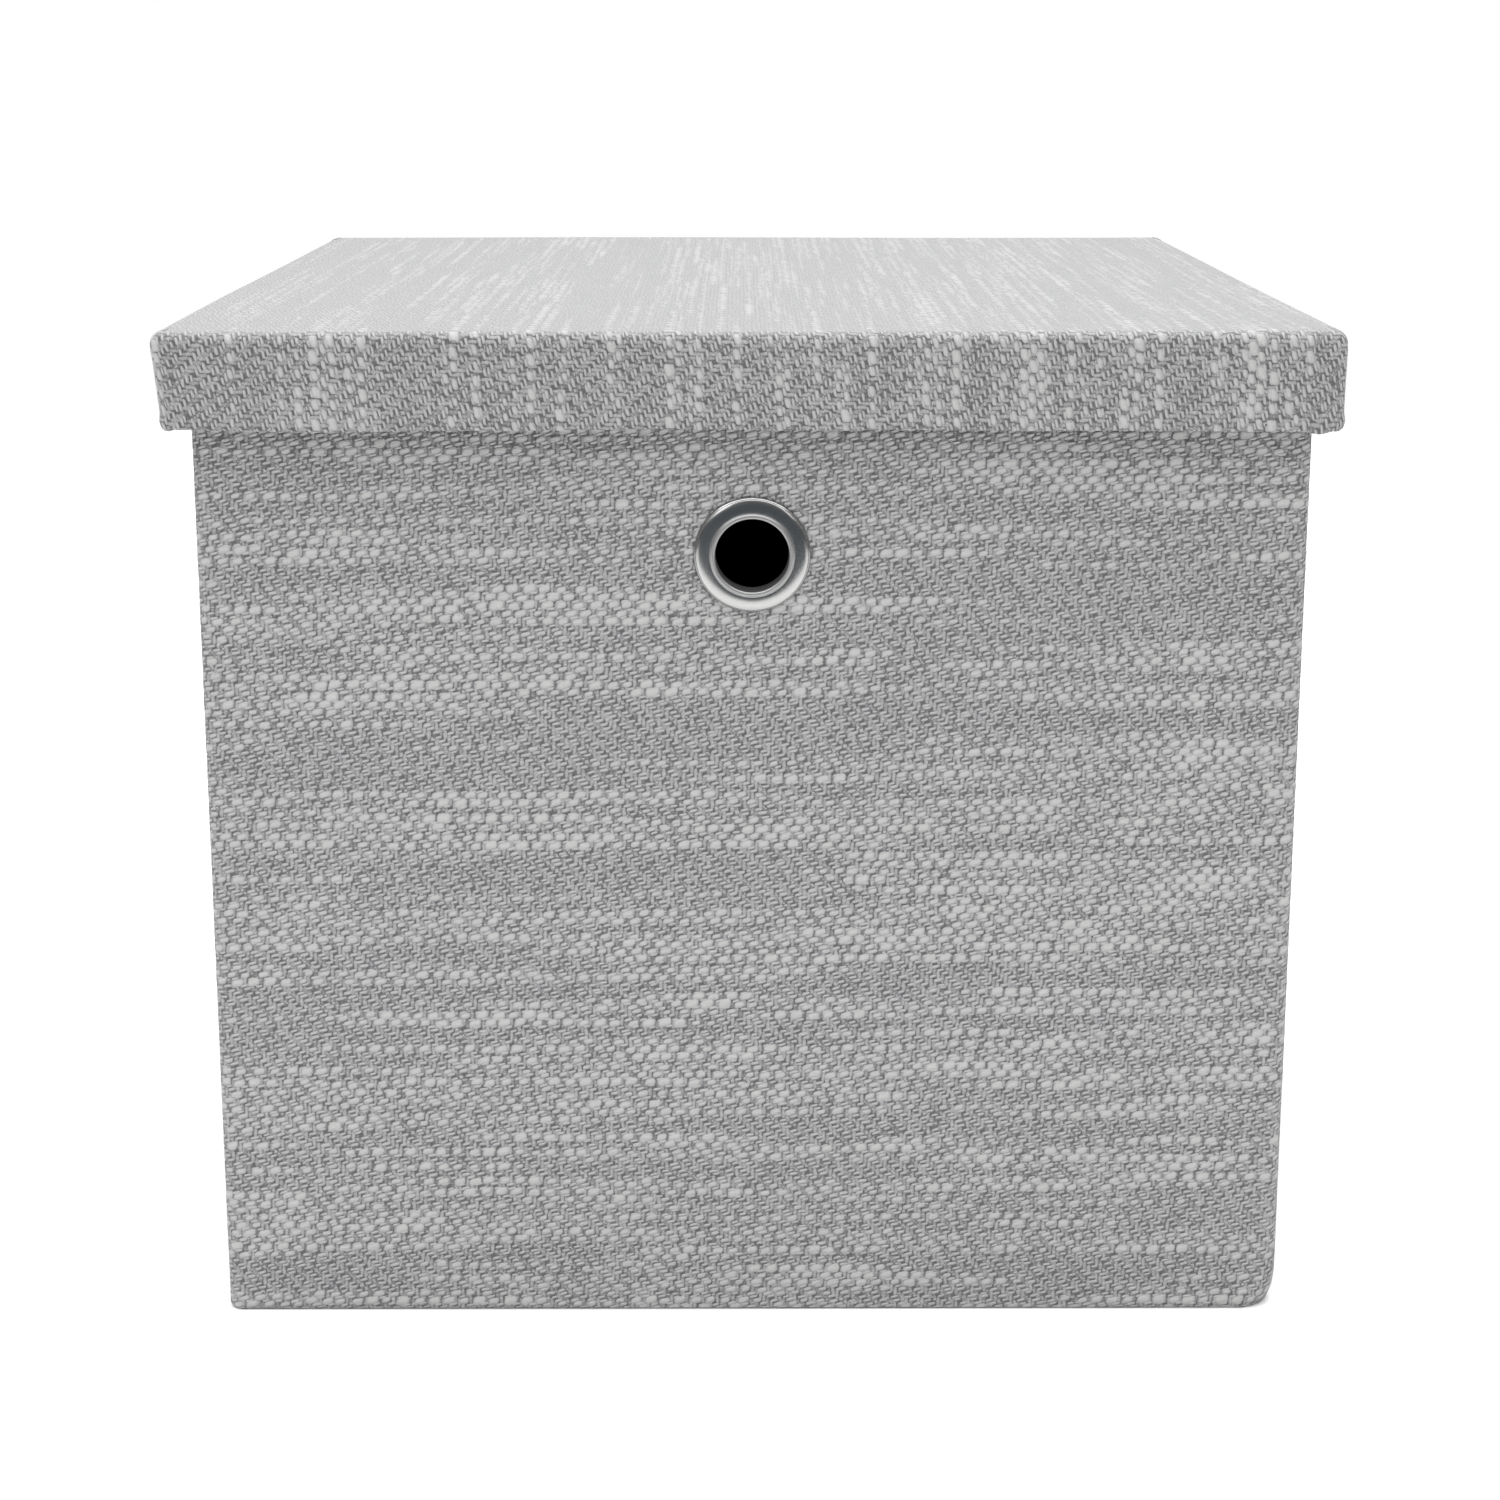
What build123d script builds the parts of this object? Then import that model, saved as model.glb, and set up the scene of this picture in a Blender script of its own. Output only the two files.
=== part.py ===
from build123d import *
import os

# A square storage bin of stiff board covered in woven cloth, with a lift-off lid that has a deep
# flange all round and one metal eyelet in the front wall as a finger hole. The side walls are
# creased down the middle, so that the empty bin folds flat against its front wall once the loose
# board is taken out of the bottom.
#
# Frame: X to the right, the front wall faces -Y, Z up, origin on the floor under the middle.
# All sizes are in millimetres.

# Overall sizes
bin_width = 330.0  # outside of the walls, left to right
bin_depth = 326.0  # outside of the walls, front to back: the folded side walls meet inside the width
bin_height = 310.0  # floor to the top of the lid
lid_overhang = 7.0  # the lid stands out this much past the walls on every side
flange_height = 29.0  # top of the lid to the lower edge of its flange

# Layers
cloth = 0.9  # woven outer cloth
wall_board = 2.5  # greyboard in the walls and the lid
flange_board = 1.6  # thinner board in the lid's flange
lining = 0.6  # black non-woven lining
flange_lining = 0.5
floor_cloth = 1.0  # the doubled cloth under the bin
base_board = 2.3  # loose board in the bottom
base_wrap = 0.5  # the lining that wraps the loose board
tab_cloth = 0.4  # ribbon of the lifting tab

# Gaps
hinge_gap = 0.4  # end of a side wall to the wall it is hinged on
crease_gap = 1.0  # half of the channel in the middle of a side wall
fold_height = 4.4  # lower edge of the walls that move, just above the loose board
lid_gap = 0.5  # top of the walls to the lid's lining
base_clearance = 2.4  # loose board to the walls, wide enough to pass the back of the eyelet
side_clearance = 1.2

# Corners
cloth_corner = 3.0
board_corner = cloth_corner - cloth
strip_corner = 1.5  # nearly the full thickness of a flange strip
lid_edge = 2.5  # rounding of the lid's top edge
board_edge = 1.6

# The lower right corner of the front is soft. The boards and the front lining are rounded off there,
# and the cloth pulls in.
soft_front_r = 26.0
soft_side_r = 14.0
soft_lining_r = 8.0

# Eyelet
eyelet_height = 243.0
eyelet_bore_r = 11.0
eyelet_barrel = 0.7
eyelet_rim_r = 17.4
wall_hole_r = 12.0
washer_thick = 1.0
washer_r = 16.5
roll_r = 13.3
roll_depth = 0.9

# Worked out from the sizes above
wall = cloth + wall_board + lining
half_width = bin_width / 2
half_depth = bin_depth / 2
lid_stack = cloth + wall_board + lining
wall_top = bin_height - lid_stack - lid_gap

os.makedirs("parts", exist_ok=True)


def save(piece, name):
    """Label one finished sub-part and write it to its own file."""
    piece.label = name
    export_step(piece, f"parts/{name}.step")
    print(name, round(piece.volume, 1), "mm3")


def upright(center, size, bottom, top):
    """A sheet that stands between two heights, given its centre and size in plan."""
    with BuildPart() as sheet:
        with BuildSketch(Plane.XY.offset(bottom)):
            with Locations(center):
                Rectangle(*size)
        extrude(amount=top - bottom)
    return sheet.part


# ---------------------------------------------------------------- front and back walls
# A full-width wall is a sandwich. The cloth covers the outer face and turns in over both ends and
# the top edge, the board stands inside it, and the lining closes the inner face.


def end_wall_plan(facing, outset, thick, corner, bottom):
    """Plan of one layer of an end wall, outset from the wall's faces, its outer corners rounded."""
    with BuildSketch(Plane.XY.offset(bottom)) as plan:
        with Locations((0, facing * (half_depth - outset - thick / 2))):
            Rectangle(bin_width - 2 * outset, thick)
        outer_corners = plan.vertices().sort_by(Axis.Y)
        fillet(outer_corners[:2] if facing < 0 else outer_corners[-2:], corner)
    return plan.sketch


def end_wall_cloth(facing, bottom):
    """Cloth of the front wall (facing -1) or the back wall (facing +1)."""
    with BuildPart() as wrap:
        add(end_wall_plan(facing, 0, wall, cloth_corner, bottom))
        extrude(amount=wall_top - bottom)
        add(end_wall_plan(facing, cloth, wall - cloth, board_corner, bottom))
        extrude(amount=wall_top - cloth - bottom, mode=Mode.SUBTRACT)
    return wrap.part


def end_wall_board(facing, bottom):
    """Stiff board of the front or the back wall."""
    with BuildPart() as board:
        add(end_wall_plan(facing, cloth, wall_board, board_corner, bottom))
        extrude(amount=wall_top - cloth - bottom)
    return board.part


def end_wall_lining(facing, bottom):
    """Lining of the front or the back wall."""
    return upright(
        (0, facing * (half_depth - wall + lining / 2)),
        (bin_width - 2 * cloth, lining),
        bottom,
        wall_top - cloth,
    )


def softened(sheet, plane, corner, towards, radius):
    """The sheet with one lower corner rounded off, drawn on a plane along the sheet's face."""
    across, up = corner
    with BuildPart() as rounded:
        add(sheet)
        with BuildSketch(plane):
            with Locations((across - towards * radius / 2, up + radius / 2)):
                Rectangle(radius, radius)
            with Locations((across - towards * radius, up + radius)):
                Circle(radius, mode=Mode.SUBTRACT)
        extrude(amount=bin_width, both=True, mode=Mode.SUBTRACT)
    return rounded.part


def pierced(sheet):
    """The sheet with the eyelet's hole punched through it."""
    with BuildPart() as punched:
        add(sheet)
        with BuildSketch(Plane.XZ.offset(half_depth - 2 * wall)):
            with Locations((0, eyelet_height)):
                Circle(wall_hole_r)
        extrude(amount=3 * wall, mode=Mode.SUBTRACT)
    return punched.part


save(pierced(end_wall_cloth(-1, floor_cloth)), "front_fabric")
front_corner = (half_width - cloth, floor_cloth)
front_board = softened(end_wall_board(-1, floor_cloth), Plane.XZ, front_corner, 1, soft_front_r)
save(pierced(front_board), "front_board")
front_lining = softened(end_wall_lining(-1, floor_cloth), Plane.XZ, front_corner, 1, soft_lining_r)
save(pierced(front_lining), "front_lining")
save(end_wall_cloth(1, fold_height), "back_fabric")
save(end_wall_board(1, fold_height), "back_board")
save(end_wall_lining(1, fold_height), "back_lining")

# ---------------------------------------------------------------- folding side walls
# Each side wall is two halves that meet at the crease. A half has cloth on its outer face, over its
# top edge and round its end at the crease.
half_wall_start = crease_gap
half_wall_end = half_depth - wall - hinge_gap
half_wall_length = half_wall_end - half_wall_start
core_length = half_wall_length - cloth


def half_wall_cloth(side, end):
    """Cloth of one half: side is -1 left or +1 right, end is -1 front or +1 back."""
    middle = half_wall_start + half_wall_length / 2
    with BuildPart() as wrap:
        with BuildSketch(Plane.XY.offset(fold_height)):
            with Locations((side * (half_width - wall / 2), end * middle)):
                Rectangle(wall, half_wall_length)
        extrude(amount=wall_top - fold_height)
        with BuildSketch(Plane.XY.offset(fold_height)):
            with Locations((side * (half_width - (wall + cloth) / 2), end * (middle + cloth / 2))):
                Rectangle(wall - cloth, core_length)
        extrude(amount=wall_top - cloth - fold_height, mode=Mode.SUBTRACT)
    return wrap.part


def half_wall_sheet(side, end, outset, thick):
    """The board or the lining of one half, outset from the outer face of the wall."""
    middle = half_wall_end - core_length / 2
    return upright(
        (side * (half_width - outset - thick / 2), end * middle),
        (thick, core_length),
        fold_height,
        wall_top - cloth,
    )


for side, side_name in ((-1, "left"), (1, "right")):
    for end, end_name in ((-1, "front"), (1, "back")):
        half_name = f"{side_name}_{end_name}"
        save(half_wall_cloth(side, end), f"{half_name}_fabric")
        half_board = half_wall_sheet(side, end, cloth, wall_board)
        if half_name == "right_front":
            side_corner = (-half_wall_end, fold_height)
            half_board = softened(half_board, Plane.YZ, side_corner, -1, soft_side_r)
        save(half_board, f"{half_name}_board")
        save(half_wall_sheet(side, end, cloth + wall_board, lining), f"{half_name}_lining")

# ---------------------------------------------------------------- bottom
# The bottom cloth is sewn to the lower edge of all four walls and lies on the floor.
with BuildPart() as base_fabric:
    with BuildSketch():
        RectangleRounded(bin_width, bin_depth, cloth_corner)
    extrude(amount=floor_cloth)
save(base_fabric.part, "base_fabric")

# The loose board keeps the bottom flat. It is wrapped in the same lining as the walls.
base_width = bin_width - 2 * (wall + side_clearance)
base_depth = bin_depth - 2 * (wall + base_clearance)
base_top = floor_cloth + base_board + base_wrap

with BuildPart() as base_cover:
    with BuildSketch(Plane.XY.offset(floor_cloth)):
        RectangleRounded(base_width, base_depth, cloth_corner)
    extrude(amount=base_board + base_wrap)
    with BuildSketch(Plane.XY.offset(floor_cloth)):
        RectangleRounded(base_width - 2 * base_wrap, base_depth - 2 * base_wrap, cloth_corner - base_wrap)
    extrude(amount=base_board, mode=Mode.SUBTRACT)
save(base_cover.part, "base_cover")

with BuildPart() as base_core:
    with BuildSketch(Plane.XY.offset(floor_cloth)):
        RectangleRounded(base_width - 2 * base_wrap, base_depth - 2 * base_wrap, cloth_corner - base_wrap)
    extrude(amount=base_board)
save(base_core.part, "base_board")

# A short ribbon at the right end of the loose board, to lift it by.
tab_width = 20.0
tab_length = 45.0
tab_inset = 12.0
with BuildPart() as base_tab:
    with BuildSketch(Plane.XY.offset(base_top)):
        with Locations((base_width / 2 - tab_inset - tab_length / 2, 0)):
            RectangleRounded(tab_length, tab_width, cloth_corner)
    extrude(amount=tab_cloth)
save(base_tab.part, "base_pull_tab")

# ---------------------------------------------------------------- eyelet
# The eyelet's face and barrel are one pressing. The barrel passes through the wall and is rolled
# over a flat washer at the back. The profile is drawn in the plane X = 0 as radius against
# distance in front of the cloth, and turned about the eyelet's axis.
barrel_r = eyelet_bore_r + eyelet_barrel
washer_back = -wall - washer_thick
roll_back = washer_back - roll_depth
eyelet_plane = Plane(
    origin=(0, -half_depth, eyelet_height),
    x_dir=(1, 0, 0),
    z_dir=(0, 0, 1),
)

# The lip is the barrel's edge rolled outwards. A groove divides it from the crowned rim.
lip_radius = 0.6
lip_outer_r = eyelet_bore_r + 2 * lip_radius
groove_r = lip_outer_r + 1.0
rim_inner_r = groove_r + 0.8
crown_r = eyelet_rim_r - 1.5
lip_front = 1.3
lip_edge_front = 1.5
groove_front = 1.2
rim_edge_front = 1.6
crown_front = 2.1

with BuildPart() as eyelet_face:
    with BuildSketch(eyelet_plane):
        with BuildLine():
            Line((eyelet_bore_r, -roll_back), (eyelet_bore_r, -lip_front))
            ThreePointArc(
                (eyelet_bore_r, -lip_front),
                (eyelet_bore_r + lip_radius, -lip_front - lip_radius),
                (lip_outer_r, -lip_edge_front),
            )
            ThreePointArc(
                (lip_outer_r, -lip_edge_front),
                (groove_r, -groove_front),
                (rim_inner_r, -rim_edge_front),
            )
            ThreePointArc(
                (rim_inner_r, -rim_edge_front),
                (crown_r, -crown_front),
                (eyelet_rim_r, 0),
            )
            Line((eyelet_rim_r, 0), (barrel_r, 0))
            Line((barrel_r, 0), (barrel_r, -washer_back))
            Line((barrel_r, -washer_back), (roll_r, -washer_back))
            Line((roll_r, -washer_back), (roll_r - roll_depth, -roll_back))
            Line((roll_r - roll_depth, -roll_back), (eyelet_bore_r, -roll_back))
        make_face()
    revolve(axis=Axis((0, 0, eyelet_height), (0, 1, 0)))
save(eyelet_face.part, "eyelet_face")

with BuildPart() as eyelet_washer:
    with BuildSketch(Plane.XZ.offset(half_depth + washer_back)):
        with Locations((0, eyelet_height)):
            Circle(washer_r)
            Circle(barrel_r, mode=Mode.SUBTRACT)
    extrude(amount=washer_thick)
save(eyelet_washer.part, "eyelet_washer")

# ---------------------------------------------------------------- lid
# The cloth covers the top and the flange and turns in under the flange's lower edge. Inside it lie
# a full board in the top, four strips of thinner board in the flange, and a lining like a tray.
lid_width = bin_width + 2 * lid_overhang
lid_depth = bin_depth + 2 * lid_overhang
lid_bottom = bin_height - flange_height
hem_top = lid_bottom + cloth
lid_board_bottom = bin_height - cloth - wall_board
flange_wall = cloth + flange_board + flange_lining
core_width = lid_width - 2 * cloth
core_depth = lid_depth - 2 * cloth
mouth_width = lid_width - 2 * flange_wall
mouth_depth = lid_depth - 2 * flange_wall

with BuildPart() as lid_fabric:
    with BuildSketch(Plane.XY.offset(lid_bottom)):
        RectangleRounded(lid_width, lid_depth, cloth_corner)
    extrude(amount=flange_height)
    fillet(lid_fabric.faces().sort_by(Axis.Z)[-1].edges(), lid_edge)
    with BuildSketch(Plane.XY.offset(hem_top)):
        RectangleRounded(core_width, core_depth, strip_corner)
    extrude(amount=bin_height - cloth - hem_top, mode=Mode.SUBTRACT)
    with BuildSketch(Plane.XY.offset(lid_bottom)):
        Rectangle(mouth_width, mouth_depth)
    extrude(amount=cloth, mode=Mode.SUBTRACT)
save(lid_fabric.part, "lid_fabric")

with BuildPart() as lid_board:
    with BuildSketch(Plane.XY.offset(lid_board_bottom)):
        RectangleRounded(core_width, core_depth, board_corner)
    extrude(amount=wall_board)
    fillet(lid_board.faces().sort_by(Axis.Z)[-1].edges(), board_edge)
save(lid_board.part, "lid_board")

with BuildPart() as lid_lining:
    with BuildSketch(Plane.XY.offset(hem_top)):
        Rectangle(mouth_width + 2 * flange_lining, mouth_depth + 2 * flange_lining)
    extrude(amount=lid_board_bottom - hem_top)
    with BuildSketch(Plane.XY.offset(hem_top)):
        Rectangle(mouth_width, mouth_depth)
    extrude(amount=lid_board_bottom - lining - hem_top, mode=Mode.SUBTRACT)
save(lid_lining.part, "lid_lining")

for facing, end_name in ((-1, "front"), (1, "back")):
    with BuildPart() as end_strip:
        with BuildSketch(Plane.XY.offset(hem_top)) as strip_plan:
            with Locations((0, facing * (core_depth - flange_board) / 2)):
                Rectangle(core_width, flange_board)
            strip_corners = strip_plan.vertices().sort_by(Axis.Y)
            fillet(strip_corners[:2] if facing < 0 else strip_corners[-2:], strip_corner)
        extrude(amount=lid_board_bottom - hem_top)
    save(end_strip.part, f"lid_{end_name}_strip")

for side, side_name in ((-1, "left"), (1, "right")):
    with BuildPart() as side_strip:
        with BuildSketch(Plane.XY.offset(hem_top)):
            with Locations((side * (core_width - flange_board) / 2, 0)):
                Rectangle(flange_board, core_depth - 2 * flange_board)
        extrude(amount=lid_board_bottom - hem_top)
    save(side_strip.part, f"lid_{side_name}_strip")
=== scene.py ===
# %% [markdown]
# # A cloth-covered storage bin
# The bin is a box of stiff board covered in a coarse slub weave. It has a lift-off lid with a deep
# flange, one metal eyelet in the front wall, and side walls with a crease, so that it folds flat.
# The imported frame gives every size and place. The cloth is what the eye sees, so it gets the most
# work: each wall's cloth is its own mesh with one row of faces for each weft yarn.

# %% Load the frame
import math

import bpy
import numpy as np
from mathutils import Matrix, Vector


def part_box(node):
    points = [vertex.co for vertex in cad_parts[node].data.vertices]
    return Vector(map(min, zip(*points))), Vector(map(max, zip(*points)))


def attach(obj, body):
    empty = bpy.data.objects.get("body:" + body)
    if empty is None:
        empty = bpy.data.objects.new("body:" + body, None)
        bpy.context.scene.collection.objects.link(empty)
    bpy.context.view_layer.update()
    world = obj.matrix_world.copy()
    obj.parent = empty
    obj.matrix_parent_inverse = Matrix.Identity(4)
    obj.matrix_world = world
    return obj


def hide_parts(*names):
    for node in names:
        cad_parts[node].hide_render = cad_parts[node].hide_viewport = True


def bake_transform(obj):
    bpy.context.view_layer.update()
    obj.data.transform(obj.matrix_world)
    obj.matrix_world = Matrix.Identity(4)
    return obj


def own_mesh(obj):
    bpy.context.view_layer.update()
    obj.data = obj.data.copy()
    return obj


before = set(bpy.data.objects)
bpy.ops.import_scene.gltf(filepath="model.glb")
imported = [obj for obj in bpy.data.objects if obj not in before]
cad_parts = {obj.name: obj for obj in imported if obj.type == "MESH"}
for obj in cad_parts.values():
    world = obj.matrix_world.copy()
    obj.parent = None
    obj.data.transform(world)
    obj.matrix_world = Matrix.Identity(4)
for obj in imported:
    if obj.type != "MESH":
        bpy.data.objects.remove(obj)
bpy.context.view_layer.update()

MM = 0.001
scene = bpy.context.scene

# %% [markdown]
# ## Camera
# The bin is seen from straight in front and a little above the lid, from under a metre away, so
# the lid's top narrows towards the back. A real studio camera kept the walls upright with a falling
# lens. A small shift does part of that here, and a slight tilt does the rest.

# %% Camera
CAMERA_PLACE = (-3.0, -911.0, 396.0)  # mm
CAMERA_TILT = 11.9  # degrees below level
CAMERA_TURN = 0.18  # degrees to the right
CAMERA_LENS = 61.9
LENS_FALL = -0.12

camera_data = bpy.data.cameras.new("studio_camera")
camera_data.lens = CAMERA_LENS
camera_data.shift_y = LENS_FALL
camera_data.clip_end = 50.0
camera = bpy.data.objects.new("studio_camera", camera_data)
camera.location = Vector(CAMERA_PLACE) * MM
camera.rotation_euler = (math.radians(90 - CAMERA_TILT), 0, math.radians(-CAMERA_TURN))
scene.collection.objects.link(camera)
scene.camera = camera
print("camera", tuple(camera.location))

# %% [markdown]
# ## Nodes and colours
# Colours are written as sRGB hex values, as on a paint card, and turned to the linear values that
# the renderer works in. One helper adds any node, so that a material reads as a list of steps.

# %% Helpers for materials
MATH = "ShaderNodeMath"


def linear(hex_colour):
    """A #rrggbb colour as linear red, green, blue and alpha."""
    parts = [int(hex_colour[i : i + 2], 16) / 255 for i in (1, 3, 5)]
    return [c / 12.92 if c <= 0.04045 else ((c + 0.055) / 1.055) ** 2.4 for c in parts] + [1.0]


def add_node(tree, kind, *terms, sockets=None, **settings):
    """Adds a node: terms fill its inputs in order, sockets by name. Gives its first output."""
    made = tree.nodes.new(kind)
    for name, value in settings.items():
        setattr(made, name, value)
    for key, value in [*enumerate(terms), *(sockets or {}).items()]:
        if isinstance(value, bpy.types.NodeSocket):
            tree.links.new(value, made.inputs[key])
        else:
            made.inputs[key].default_value = value
    return made.outputs[0] if made.outputs else None


def new_material(name):
    """An empty material with its node tree."""
    material = bpy.data.materials.new(name)
    material.use_nodes = True
    material.node_tree.nodes.clear()
    return material, material.node_tree


def colour_steps(tree, factor, stops):
    """A ramp from one hex colour to the next, at the given positions."""
    output = add_node(tree, "ShaderNodeValToRGB", factor)
    ramp = output.node.color_ramp
    while len(ramp.elements) < len(stops):
        ramp.elements.new(0.5)
    for element, (position, hex_colour) in zip(ramp.elements, stops):
        element.position = position
        element.color = linear(hex_colour)
    return output


def object_mm(tree):
    """Places on the object, in millimetres."""
    place = add_node(tree, "ShaderNodeTexCoord").node.outputs["Object"]
    return add_node(tree, "ShaderNodeMapping", place, sockets={"Scale": (1 / MM,) * 3})


# %% [markdown]
# ## The weave
# The cloth is a 2/2 twill of soft grey cotton with slub weft: every so often a weft yarn swells to
# twice its thickness for a few centimetres and then tapers away. The swollen yarn shows as a row of
# pale oval floats. The slubs could be noise in the material alone, but then the mesh would be flat.
# Here one table holds how thick each pick is along its length. The mesh takes its relief from the
# table, and carries it to the material as a colour attribute, so both agree.

# %% Yarn sizes
END_PITCH = 1.215  # mm from one warp end to the next
PICK_PITCH = 1.22  # mm from one weft pick to the next
REPEAT = 4 * END_PITCH  # a float comes back after four ends
SLUB_STEP = 2.0  # mm between the places where the table is kept
SLUB_RELIEF = 0.30  # mm that a full slub stands proud
SLUB_EVERY = 42  # mm of yarn for each chance of a slub
SLUB_SHORTEST = 8  # mm, least half length
SLUB_SPREAD = (3.0, 10.0)  # shape and scale, in mm, of what a half length adds to the least
SLUB_TAPER = 20  # mm over which a slub thins away
SLUB_STRENGTH = (0.25, 0.95)
CROWD_PATCH = (4, 60)  # picks and table steps over which slubs crowd together or stay away
CROWD_LEVEL = (0.2, 0.7)  # a slub is kept where the crowding is over a level between these
CROWDED_OUT = (2.2, 0.95)  # how soon and how far a slub keeps the next pick thin
print("threads per cm", round(10 / END_PITCH, 1), round(10 / PICK_PITCH, 1))


def waves(shape, steps, rng):
    """A smooth random field, from coarse random values spread out evenly."""
    coarse = rng.random((int(shape[0] / steps[0]) + 4, int(shape[1] / steps[1]) + 4))
    rows = np.arange(shape[0]) / steps[0]
    columns = np.arange(shape[1]) / steps[1]
    r, c = rows.astype(int), columns.astype(int)
    fr = (rows - r)[:, None]
    fc = (columns - c)[None, :]
    fr, fc = fr * fr * (3 - 2 * fr), fc * fc * (3 - 2 * fc)
    low = coarse[r][:, c] * (1 - fc) + coarse[r][:, c + 1] * fc
    high = coarse[r + 1][:, c] * (1 - fc) + coarse[r + 1][:, c + 1] * fc
    return low * (1 - fr) + high * fr


def slub_yarn(first_pick, picks, start, length, seed, share):
    """Gives a function: how swollen pick number n is at a length along it, from 0 to 1."""
    rng = np.random.default_rng(seed)
    samples = int(length / SLUB_STEP) + 2
    place = np.arange(samples) * SLUB_STEP
    crowd = waves((picks, samples), CROWD_PATCH, rng)
    table = np.zeros((picks, samples))
    for n in range(picks):
        for _ in range(rng.poisson(share * length / SLUB_EVERY)):
            middle = rng.uniform(0, length)
            half = rng.gamma(*SLUB_SPREAD) + SLUB_SHORTEST
            taper = np.clip((half - np.abs(place - middle)) / SLUB_TAPER, 0, 1)
            chosen = crowd[n, int(middle / SLUB_STEP)] > rng.uniform(*CROWD_LEVEL)
            table[n] = np.maximum(table[n], taper * rng.uniform(*SLUB_STRENGTH) * chosen)
    onset, most = CROWDED_OUT
    for n in range(1, picks):
        table[n] *= 1 - most * np.clip(table[n - 1] * onset, 0, 1)

    def swollen(pick, along):
        row = np.clip(np.asarray(pick) - first_pick, 0, picks - 1).astype(int)
        column = np.clip((np.asarray(along) - start) / SLUB_STEP, 0, samples - 2)
        left = column.astype(int)
        part = column - left
        return table[row, left] * (1 - part) + table[row, left + 1] * part

    print("slubs cover", round(float((table > 0.3).mean()), 3))
    return swollen


# %% [markdown]
# A woven piece is one or more grids: the columns run along the weft and each row of faces is one
# pick. The mesh keeps the cloth's own millimetres as its UV map, so the weave runs on unbroken from
# one piece to the next. Each face corner also carries the swelling of its own pick and of the picks
# below and above, because a fat slub spreads over its neighbours.

# %% Build a woven piece
SEAM = 1e-4  # mm, to look just below and just above a row's edge


def picks_between(low, high):
    """The edges of every pick between two places across the cloth, with both ends."""
    inner = np.arange(math.ceil((low + 0.2) / PICK_PITCH), math.floor((high - 0.2) / PICK_PITCH) + 1)
    return np.concatenate([[low], inner * PICK_PITCH, [high]])


def pick_of(across):
    """Which pick lies at a place across the cloth."""
    return np.floor(np.asarray(across) / PICK_PITCH).astype(int)


def woven_piece(name, patches, swollen, hole=None):
    """Cloth made of grids. A patch is (along, across, place); place gives points and normals in mm."""
    all_points, all_quads, all_uv, all_slub = [], [], [], []
    count = 0
    for along, across, place in patches:
        points, normals = place(along, across)
        below, above = pick_of(across - SEAM)[:, None], pick_of(across + SEAM)[:, None]
        swell = (swollen(below, along[None, :]) + swollen(above, along[None, :])) / 2
        phase = along[None, :] / REPEAT + (below + above) / 8
        relief = SLUB_RELIEF * swell * (0.6 - 0.4 * np.cos(2 * math.pi * phase))
        points = points + normals * relief[..., None]
        rows, columns = len(across), len(along)
        index = np.arange(rows * columns).reshape(rows, columns) + count
        quads = np.stack([index[:-1, :-1], index[:-1, 1:], index[1:, 1:], index[1:, :-1]], -1)
        keep = np.ones((rows - 1, columns - 1), bool)
        if hole is not None:
            keep = ~hole((points[:-1, :-1] + points[1:, 1:]) / 2)
        shape = (rows - 1, columns - 1, 4)
        along_corner = np.stack([along[:-1], along[1:], along[1:], along[:-1]], -1)
        along_corner = np.broadcast_to(along_corner, shape)[keep]
        across_corner = np.stack([across[:-1], across[:-1], across[1:], across[1:]], -1)[:, None]
        across_corner = np.broadcast_to(across_corner, shape)[keep]
        pick = pick_of((across[:-1] + across[1:]) / 2)[:, None]
        pick = np.broadcast_to(pick, keep.shape)[keep][:, None]
        slub = [swollen(pick + step, along_corner) for step in (-1, 0, 1)]
        all_points.append(points.reshape(-1, 3))
        all_quads.append(quads[keep])
        all_uv.append(np.stack([along_corner, across_corner], -1).reshape(-1, 2))
        all_slub.append(np.stack([*slub, np.ones_like(slub[0])], -1).reshape(-1, 4))
        count += rows * columns
    used, quads = np.unique(np.concatenate(all_quads), return_inverse=True)
    points = np.concatenate(all_points)[used] * MM
    mesh = bpy.data.meshes.new(name)
    mesh.from_pydata(points.tolist(), [], quads.reshape(-1, 4).tolist())
    cloth_map = mesh.uv_layers.new(name="cloth_mm")
    cloth_map.data.foreach_set("uv", np.concatenate(all_uv).astype(np.float32).ravel())
    attribute = mesh.color_attributes.new("slub", "FLOAT_COLOR", "CORNER")
    attribute.data.foreach_set("color", np.concatenate(all_slub).astype(np.float32).ravel())
    mesh.shade_smooth()
    piece = bpy.data.objects.new(name, mesh)
    scene.collection.objects.link(piece)
    mesh.materials.append(slub_twill)
    print(name, len(mesh.polygons), "faces")
    return piece
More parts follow.
